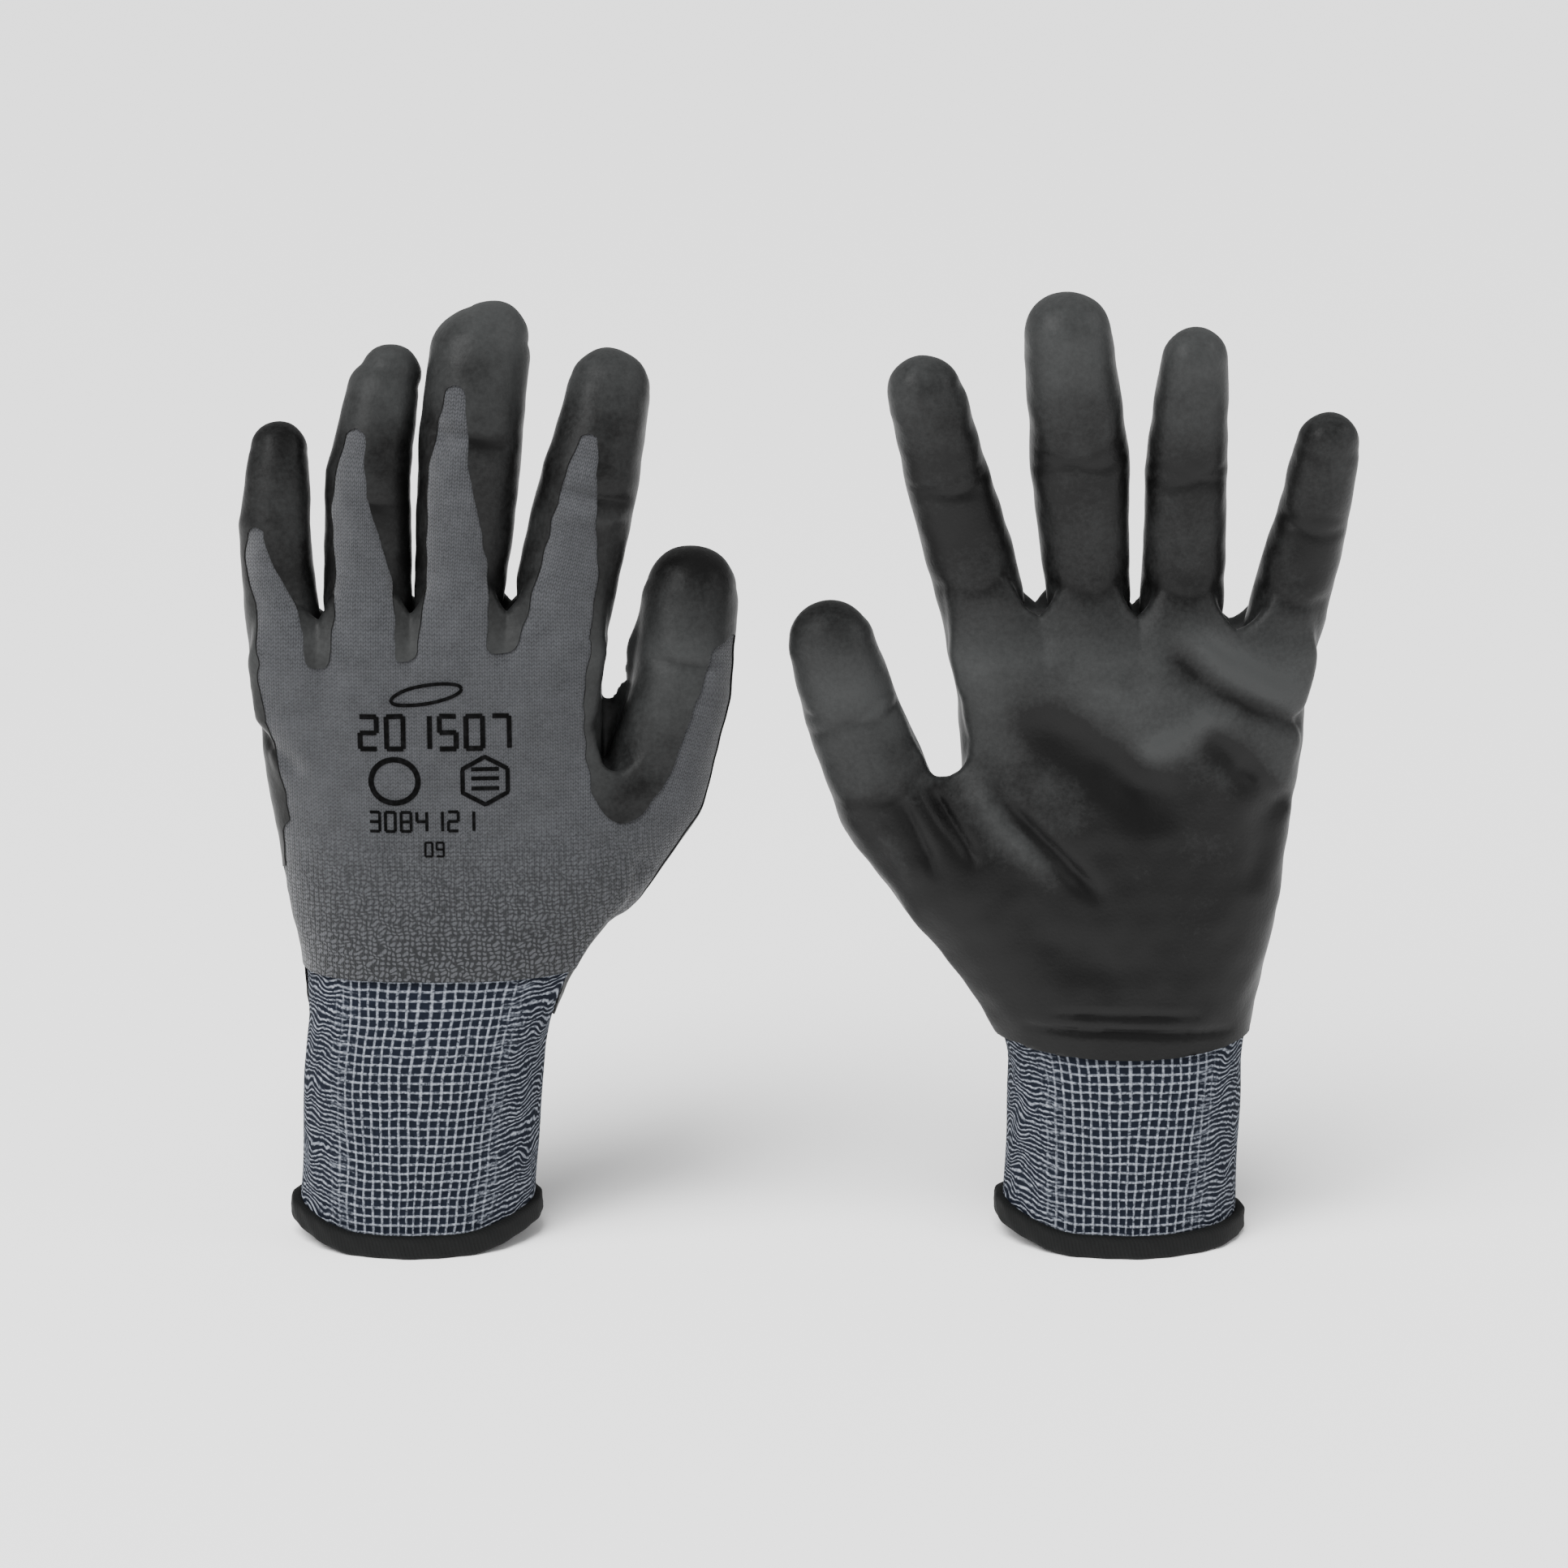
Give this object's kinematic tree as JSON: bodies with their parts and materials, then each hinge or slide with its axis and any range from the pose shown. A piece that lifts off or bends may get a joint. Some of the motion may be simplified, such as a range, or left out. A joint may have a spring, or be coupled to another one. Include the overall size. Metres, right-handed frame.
{
  "type": "knit work gloves",
  "caption": "Left-hand knit work gloves standing on ribbed cuffs, with dipped palms and fingertips, hollow digits and flexing wrist and finger joints.",
  "frame": {"origin": "centre of the pair's bounding box at the height of the hem undersides", "axes": "+X along the pair from the glove shown by its back to the glove shown by its palm, +Y away from the viewer, +Z from the hems to the fingertips"},
  "size_m": [0.2822, 0.0468, 0.2507],
  "materials": {
    "liner_knit": "fine seamless knit, matt",
    "nitrile_coating": "foamed dip coating, matt",
    "cuff_rib": "ribbed knit, two yarn colours",
    "hem_binding": "overlock stitching",
    "elastic_yarn": "covered elastic yarn"
  },
  "bodies": {
    "glove1_cuff_body": {"glove1_hem": "hem_binding", "glove1_cuff": "cuff_rib", "glove1_cuff_elastic": "elastic_yarn"},
    "glove1_hand_body": {"glove1_hand_liner": "liner_knit", "glove1_hand_coating": "nitrile_coating"},
    "glove1_thumb_base_body": {"glove1_thumb_base_liner": "liner_knit", "glove1_thumb_base_coating": "nitrile_coating"},
    "glove1_thumb_tip_body": {"glove1_thumb_tip_liner": "liner_knit", "glove1_thumb_tip_coating": "nitrile_coating"},
    "glove1_index_base_body": {"glove1_index_base_liner": "liner_knit", "glove1_index_base_coating": "nitrile_coating"},
    "glove1_index_tip_body": {"glove1_index_tip_liner": "liner_knit", "glove1_index_tip_coating": "nitrile_coating"},
    "glove1_middle_base_body": {"glove1_middle_base_liner": "liner_knit", "glove1_middle_base_coating": "nitrile_coating"},
    "glove1_middle_tip_body": {"glove1_middle_tip_liner": "liner_knit", "glove1_middle_tip_coating": "nitrile_coating"},
    "glove1_ring_base_body": {"glove1_ring_base_liner": "liner_knit", "glove1_ring_base_coating": "nitrile_coating"},
    "glove1_ring_tip_body": {"glove1_ring_tip_liner": "liner_knit", "glove1_ring_tip_coating": "nitrile_coating"},
    "glove1_little_base_body": {"glove1_little_base_liner": "liner_knit", "glove1_little_base_coating": "nitrile_coating"},
    "glove1_little_tip_body": {"glove1_little_tip_liner": "liner_knit", "glove1_little_tip_coating": "nitrile_coating"},
    "glove2_cuff_body": {"glove2_hem": "hem_binding", "glove2_cuff": "cuff_rib", "glove2_cuff_elastic": "elastic_yarn"},
    "glove2_hand_body": {"glove2_hand_liner": "liner_knit", "glove2_hand_coating": "nitrile_coating"},
    "glove2_thumb_base_body": {"glove2_thumb_base_liner": "liner_knit", "glove2_thumb_base_coating": "nitrile_coating"},
    "glove2_thumb_tip_body": {"glove2_thumb_tip_liner": "liner_knit", "glove2_thumb_tip_coating": "nitrile_coating"},
    "glove2_index_base_body": {"glove2_index_base_liner": "liner_knit", "glove2_index_base_coating": "nitrile_coating"},
    "glove2_index_tip_body": {"glove2_index_tip_liner": "liner_knit", "glove2_index_tip_coating": "nitrile_coating"},
    "glove2_middle_base_body": {"glove2_middle_base_liner": "liner_knit", "glove2_middle_base_coating": "nitrile_coating"},
    "glove2_middle_tip_body": {"glove2_middle_tip_liner": "liner_knit", "glove2_middle_tip_coating": "nitrile_coating"},
    "glove2_ring_base_body": {"glove2_ring_base_liner": "liner_knit", "glove2_ring_base_coating": "nitrile_coating"},
    "glove2_ring_tip_body": {"glove2_ring_tip_liner": "liner_knit", "glove2_ring_tip_coating": "nitrile_coating"},
    "glove2_little_base_body": {"glove2_little_base_liner": "liner_knit", "glove2_little_base_coating": "nitrile_coating"},
    "glove2_little_tip_body": {"glove2_little_tip_liner": "liner_knit", "glove2_little_tip_coating": "nitrile_coating"}
  },
  "joints": [
    {"name": "glove1_wrist", "type": "hinge", "parent": "glove1_cuff_body", "child": "glove1_hand_body", "pos_m": [-0.10043, 0.0215, 0.054], "axis": [-1, 0, 0], "range_deg": [-5, 50]},
    {"name": "glove1_thumb_knuckle", "type": "hinge", "parent": "glove1_hand_body", "child": "glove1_thumb_base_body", "pos_m": [-0.03675, 0.01435, 0.12062], "axis": [-0.9483, 0, 0.3173], "range_deg": [-4, 30]},
    {"name": "glove1_thumb_mid", "type": "hinge", "parent": "glove1_thumb_base_body", "child": "glove1_thumb_tip_body", "pos_m": [-0.02918, 0.01558, 0.1448], "axis": [-0.9816, 0, 0.1908], "range_deg": [-4, 45]},
    {"name": "glove1_index_knuckle", "type": "hinge", "parent": "glove1_hand_body", "child": "glove1_index_base_body", "pos_m": [-0.05829, 0.01073, 0.17436], "axis": [-0.9833, 0, 0.1822], "range_deg": [-5, 80]},
    {"name": "glove1_index_mid", "type": "hinge", "parent": "glove1_index_base_body", "child": "glove1_index_tip_body", "pos_m": [-0.05214, 0.01276, 0.20108], "axis": [-0.9763, 0, 0.2164], "range_deg": [-5, 85]},
    {"name": "glove1_middle_knuckle", "type": "hinge", "parent": "glove1_hand_body", "child": "glove1_middle_base_body", "pos_m": [-0.08572, 0.00961, 0.17341], "axis": [-0.9969, 0, 0.0785], "range_deg": [-5, 80]},
    {"name": "glove1_middle_mid", "type": "hinge", "parent": "glove1_middle_base_body", "child": "glove1_middle_tip_body", "pos_m": [-0.08272, 0.01409, 0.208], "axis": [-0.9954, 0, 0.0958], "range_deg": [-5, 85]},
    {"name": "glove1_ring_knuckle", "type": "hinge", "parent": "glove1_hand_body", "child": "glove1_ring_base_body", "pos_m": [-0.10909, 0.00944, 0.17142], "axis": [-0.9997, 0, 0.0227], "range_deg": [-5, 80]},
    {"name": "glove1_ring_mid", "type": "hinge", "parent": "glove1_ring_base_body", "child": "glove1_ring_tip_body", "pos_m": [-0.10834, 0.01145, 0.20149], "axis": [-0.9957, 0, 0.0924], "range_deg": [-5, 85]},
    {"name": "glove1_little_knuckle", "type": "hinge", "parent": "glove1_hand_body", "child": "glove1_little_base_body", "pos_m": [-0.13105, 0.00798, 0.16701], "axis": [-0.9982, 0, -0.0602], "range_deg": [-5, 80]},
    {"name": "glove1_little_mid", "type": "hinge", "parent": "glove1_little_base_body", "child": "glove1_little_tip_body", "pos_m": [-0.13264, 0.00914, 0.18923], "axis": [-1, 0, 0.0052], "range_deg": [-5, 85]},
    {"name": "glove2_wrist", "type": "hinge", "parent": "glove2_cuff_body", "child": "glove2_hand_body", "pos_m": [0.08637, -0.0215, 0.054], "axis": [1, 0, 0], "range_deg": [-5, 50]},
    {"name": "glove2_thumb_knuckle", "type": "hinge", "parent": "glove2_hand_body", "child": "glove2_thumb_base_body", "pos_m": [0.02392, -0.014, 0.11864], "axis": [0.9272, 0, 0.3746], "range_deg": [-4, 30]},
    {"name": "glove2_thumb_mid", "type": "hinge", "parent": "glove2_thumb_base_body", "child": "glove2_thumb_tip_body", "pos_m": [0.01536, -0.01503, 0.14201], "axis": [0.9483, 0, 0.3173], "range_deg": [-4, 45]},
    {"name": "glove2_index_knuckle", "type": "hinge", "parent": "glove2_hand_body", "child": "glove2_index_base_body", "pos_m": [0.04751, -0.00927, 0.17245], "axis": [0.9692, 0, 0.2462], "range_deg": [-5, 80]},
    {"name": "glove2_index_mid", "type": "hinge", "parent": "glove2_index_base_body", "child": "glove2_index_tip_body", "pos_m": [0.03898, -0.01154, 0.20126], "axis": [0.9625, 0, 0.2714], "range_deg": [-5, 85]},
    {"name": "glove2_middle_knuckle", "type": "hinge", "parent": "glove2_hand_body", "child": "glove2_middle_base_body", "pos_m": [0.07492, -0.00884, 0.17146], "axis": [0.9971, 0, 0.0758], "range_deg": [-5, 80]},
    {"name": "glove2_middle_mid", "type": "hinge", "parent": "glove2_middle_base_body", "child": "glove2_middle_tip_body", "pos_m": [0.07195, -0.0135, 0.20812], "axis": [0.9942, 0, 0.108], "range_deg": [-5, 85]},
    {"name": "glove2_ring_knuckle", "type": "hinge", "parent": "glove2_hand_body", "child": "glove2_ring_base_body", "pos_m": [0.09897, -0.00893, 0.17045], "axis": [1, 0, -0.0044], "range_deg": [-5, 80]},
    {"name": "glove2_ring_mid", "type": "hinge", "parent": "glove2_ring_base_body", "child": "glove2_ring_tip_body", "pos_m": [0.09867, -0.01146, 0.20352], "axis": [1, 0, -0.0087], "range_deg": [-5, 85]},
    {"name": "glove2_little_knuckle", "type": "hinge", "parent": "glove2_hand_body", "child": "glove2_little_base_body", "pos_m": [0.12576, -0.0085, 0.16849], "axis": [0.9769, 0, -0.2139], "range_deg": [-5, 80]},
    {"name": "glove2_little_mid", "type": "hinge", "parent": "glove2_little_base_body", "child": "glove2_little_tip_body", "pos_m": [0.13093, -0.00957, 0.19116], "axis": [0.986, 0, -0.1668], "range_deg": [-5, 85]},
    {"name": "glove2_lift", "type": "slide", "parent": "glove1_cuff_body", "child": "glove2_cuff_body", "axis": [0, 0, 1], "range_m": [0, 0.12]}
  ]
}
